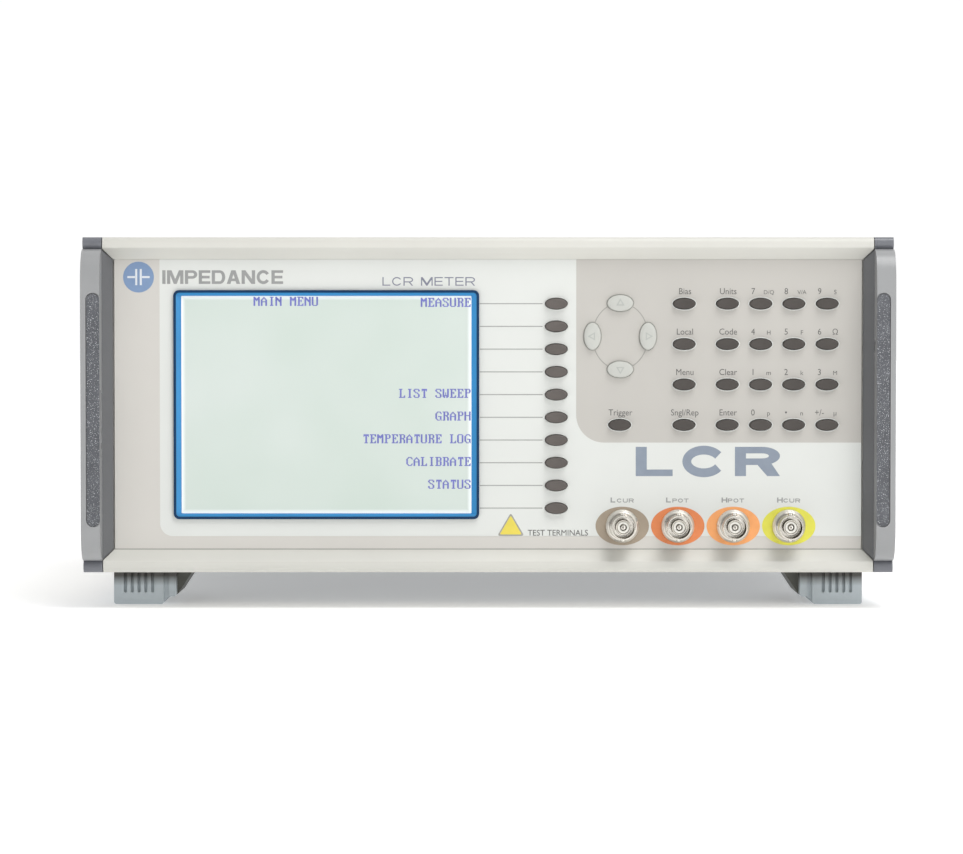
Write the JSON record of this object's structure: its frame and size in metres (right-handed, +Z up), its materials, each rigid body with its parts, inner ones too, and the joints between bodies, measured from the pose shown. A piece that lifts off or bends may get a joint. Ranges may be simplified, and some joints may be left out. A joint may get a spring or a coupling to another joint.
{
  "type": "bench lcr meter",
  "caption": "Bench impedance meter in a half-height rack case: colour display, softkeys, keypad, cursor keys, four coaxial test ports, side handle cheeks and fold-out front legs.",
  "frame": {"origin": "middle of the footprint, on the surface that the feet stand on", "axes": "+X to the right seen from the front, +Y from the front panel to the rear, +Z up"},
  "size_m": [0.32, 0.34, 0.147],
  "materials": {
    "cream_plastic": "fine satin texture",
    "grey_plastic": "satin moulded",
    "painted_panel": "matte printed film",
    "painted_sheet": "fine texture paint",
    "plated_steel": "plated sheet",
    "blue_plastic": "semi-gloss",
    "display": "anti-glare display face",
    "dark_key": "matte silicone",
    "pale_key": "matte silicone",
    "port_metal": "nickel plated",
    "foot_plastic": "moulded",
    "board": "solder mask",
    "black_plastic": "moulded"
  },
  "bodies": {
    "root": {"front_frame": "cream_plastic", "handle_left": "grey_plastic", "handle_right": "grey_plastic", "front_panel": "painted_panel", "screen_bezel": "blue_plastic", "display_module": "display", "top_cover": "painted_sheet", "bottom_chassis": "plated_steel", "rear_panel": "painted_sheet", "front_foot_left": "foot_plastic", "front_foot_right": "foot_plastic", "rear_foot_left": "foot_plastic", "rear_foot_right": "foot_plastic", "main_board": "board", "keypad_board": "board", "fan_housing": "black_plastic", "power_inlet": "black_plastic", "port_current_low": "port_metal", "port_potential_low": "port_metal", "port_potential_high": "port_metal", "port_current_high": "port_metal"},
    "softkey_1": {"softkey_1": "dark_key"},
    "softkey_2": {"softkey_2": "dark_key"},
    "softkey_3": {"softkey_3": "dark_key"},
    "softkey_4": {"softkey_4": "dark_key"},
    "softkey_5": {"softkey_5": "dark_key"},
    "softkey_6": {"softkey_6": "dark_key"},
    "softkey_7": {"softkey_7": "dark_key"},
    "softkey_8": {"softkey_8": "dark_key"},
    "softkey_9": {"softkey_9": "dark_key"},
    "softkey_10": {"softkey_10": "dark_key"},
    "arrow_up": {"arrow_up": "pale_key"},
    "arrow_down": {"arrow_down": "pale_key"},
    "arrow_left": {"arrow_left": "pale_key"},
    "arrow_right": {"arrow_right": "pale_key"},
    "key_bias": {"key_bias": "dark_key"},
    "key_units": {"key_units": "dark_key"},
    "key_7": {"key_7": "dark_key"},
    "key_8": {"key_8": "dark_key"},
    "key_9": {"key_9": "dark_key"},
    "key_local": {"key_local": "dark_key"},
    "key_code": {"key_code": "dark_key"},
    "key_4": {"key_4": "dark_key"},
    "key_5": {"key_5": "dark_key"},
    "key_6": {"key_6": "dark_key"},
    "key_menu": {"key_menu": "dark_key"},
    "key_clear": {"key_clear": "dark_key"},
    "key_1": {"key_1": "dark_key"},
    "key_2": {"key_2": "dark_key"},
    "key_3": {"key_3": "dark_key"},
    "key_single": {"key_single": "dark_key"},
    "key_enter": {"key_enter": "dark_key"},
    "key_0": {"key_0": "dark_key"},
    "key_point": {"key_point": "dark_key"},
    "key_sign": {"key_sign": "dark_key"},
    "key_trigger": {"key_trigger": "dark_key"},
    "tilt_leg_left": {"tilt_leg_left": "foot_plastic"},
    "tilt_leg_right": {"tilt_leg_right": "foot_plastic"},
    "fan_rotor": {"fan_rotor": "black_plastic"},
    "power_switch": {"power_switch": "black_plastic"}
  },
  "joints": [
    {"name": "softkey_1_press", "type": "slide", "parent": "root", "child": "softkey_1", "axis": [0, 1, 0], "range_m": [0, 0.0012], "stiffness_N_per_m": 800},
    {"name": "softkey_2_press", "type": "slide", "parent": "root", "child": "softkey_2", "axis": [0, 1, 0], "range_m": [0, 0.0012], "stiffness_N_per_m": 800},
    {"name": "softkey_3_press", "type": "slide", "parent": "root", "child": "softkey_3", "axis": [0, 1, 0], "range_m": [0, 0.0012], "stiffness_N_per_m": 800},
    {"name": "softkey_4_press", "type": "slide", "parent": "root", "child": "softkey_4", "axis": [0, 1, 0], "range_m": [0, 0.0012], "stiffness_N_per_m": 800},
    {"name": "softkey_5_press", "type": "slide", "parent": "root", "child": "softkey_5", "axis": [0, 1, 0], "range_m": [0, 0.0012], "stiffness_N_per_m": 800},
    {"name": "softkey_6_press", "type": "slide", "parent": "root", "child": "softkey_6", "axis": [0, 1, 0], "range_m": [0, 0.0012], "stiffness_N_per_m": 800},
    {"name": "softkey_7_press", "type": "slide", "parent": "root", "child": "softkey_7", "axis": [0, 1, 0], "range_m": [0, 0.0012], "stiffness_N_per_m": 800},
    {"name": "softkey_8_press", "type": "slide", "parent": "root", "child": "softkey_8", "axis": [0, 1, 0], "range_m": [0, 0.0012], "stiffness_N_per_m": 800},
    {"name": "softkey_9_press", "type": "slide", "parent": "root", "child": "softkey_9", "axis": [0, 1, 0], "range_m": [0, 0.0012], "stiffness_N_per_m": 800},
    {"name": "softkey_10_press", "type": "slide", "parent": "root", "child": "softkey_10", "axis": [0, 1, 0], "range_m": [0, 0.0012], "stiffness_N_per_m": 800},
    {"name": "arrow_up_press", "type": "slide", "parent": "root", "child": "arrow_up", "axis": [0, 1, 0], "range_m": [0, 0.0012], "stiffness_N_per_m": 800},
    {"name": "arrow_down_press", "type": "slide", "parent": "root", "child": "arrow_down", "axis": [0, 1, 0], "range_m": [0, 0.0012], "stiffness_N_per_m": 800},
    {"name": "arrow_left_press", "type": "slide", "parent": "root", "child": "arrow_left", "axis": [0, 1, 0], "range_m": [0, 0.0012], "stiffness_N_per_m": 800},
    {"name": "arrow_right_press", "type": "slide", "parent": "root", "child": "arrow_right", "axis": [0, 1, 0], "range_m": [0, 0.0012], "stiffness_N_per_m": 800},
    {"name": "key_bias_press", "type": "slide", "parent": "root", "child": "key_bias", "axis": [0, 1, 0], "range_m": [0, 0.0012], "stiffness_N_per_m": 800},
    {"name": "key_units_press", "type": "slide", "parent": "root", "child": "key_units", "axis": [0, 1, 0], "range_m": [0, 0.0012], "stiffness_N_per_m": 800},
    {"name": "key_7_press", "type": "slide", "parent": "root", "child": "key_7", "axis": [0, 1, 0], "range_m": [0, 0.0012], "stiffness_N_per_m": 800},
    {"name": "key_8_press", "type": "slide", "parent": "root", "child": "key_8", "axis": [0, 1, 0], "range_m": [0, 0.0012], "stiffness_N_per_m": 800},
    {"name": "key_9_press", "type": "slide", "parent": "root", "child": "key_9", "axis": [0, 1, 0], "range_m": [0, 0.0012], "stiffness_N_per_m": 800},
    {"name": "key_local_press", "type": "slide", "parent": "root", "child": "key_local", "axis": [0, 1, 0], "range_m": [0, 0.0012], "stiffness_N_per_m": 800},
    {"name": "key_code_press", "type": "slide", "parent": "root", "child": "key_code", "axis": [0, 1, 0], "range_m": [0, 0.0012], "stiffness_N_per_m": 800},
    {"name": "key_4_press", "type": "slide", "parent": "root", "child": "key_4", "axis": [0, 1, 0], "range_m": [0, 0.0012], "stiffness_N_per_m": 800},
    {"name": "key_5_press", "type": "slide", "parent": "root", "child": "key_5", "axis": [0, 1, 0], "range_m": [0, 0.0012], "stiffness_N_per_m": 800},
    {"name": "key_6_press", "type": "slide", "parent": "root", "child": "key_6", "axis": [0, 1, 0], "range_m": [0, 0.0012], "stiffness_N_per_m": 800},
    {"name": "key_menu_press", "type": "slide", "parent": "root", "child": "key_menu", "axis": [0, 1, 0], "range_m": [0, 0.0012], "stiffness_N_per_m": 800},
    {"name": "key_clear_press", "type": "slide", "parent": "root", "child": "key_clear", "axis": [0, 1, 0], "range_m": [0, 0.0012], "stiffness_N_per_m": 800},
    {"name": "key_1_press", "type": "slide", "parent": "root", "child": "key_1", "axis": [0, 1, 0], "range_m": [0, 0.0012], "stiffness_N_per_m": 800},
    {"name": "key_2_press", "type": "slide", "parent": "root", "child": "key_2", "axis": [0, 1, 0], "range_m": [0, 0.0012], "stiffness_N_per_m": 800},
    {"name": "key_3_press", "type": "slide", "parent": "root", "child": "key_3", "axis": [0, 1, 0], "range_m": [0, 0.0012], "stiffness_N_per_m": 800},
    {"name": "key_single_press", "type": "slide", "parent": "root", "child": "key_single", "axis": [0, 1, 0], "range_m": [0, 0.0012], "stiffness_N_per_m": 800},
    {"name": "key_enter_press", "type": "slide", "parent": "root", "child": "key_enter", "axis": [0, 1, 0], "range_m": [0, 0.0012], "stiffness_N_per_m": 800},
    {"name": "key_0_press", "type": "slide", "parent": "root", "child": "key_0", "axis": [0, 1, 0], "range_m": [0, 0.0012], "stiffness_N_per_m": 800},
    {"name": "key_point_press", "type": "slide", "parent": "root", "child": "key_point", "axis": [0, 1, 0], "range_m": [0, 0.0012], "stiffness_N_per_m": 800},
    {"name": "key_sign_press", "type": "slide", "parent": "root", "child": "key_sign", "axis": [0, 1, 0], "range_m": [0, 0.0012], "stiffness_N_per_m": 800},
    {"name": "key_trigger_press", "type": "slide", "parent": "root", "child": "key_trigger", "axis": [0, 1, 0], "range_m": [0, 0.0012], "stiffness_N_per_m": 800},
    {"name": "tilt_leg_left_hinge", "type": "hinge", "parent": "root", "child": "tilt_leg_left", "pos_m": [-0.141, -0.1225, 0.0052], "axis": [-1, 0, 0], "range_deg": [0, 95]},
    {"name": "tilt_leg_right_hinge", "type": "hinge", "parent": "root", "child": "tilt_leg_right", "pos_m": [0.141, -0.1225, 0.0052], "axis": [-1, 0, 0], "range_deg": [0, 95]},
    {"name": "fan_spin", "type": "hinge", "parent": "root", "child": "fan_rotor", "pos_m": [0.095, 0.1472, 0.078], "axis": [0, 1, 0], "continuous": true},
    {"name": "power_rocker", "type": "hinge", "parent": "root", "child": "power_switch", "pos_m": [-0.115, 0.1618, 0.086], "axis": [-1, 0, 0], "range_deg": [0, 16]}
  ]
}
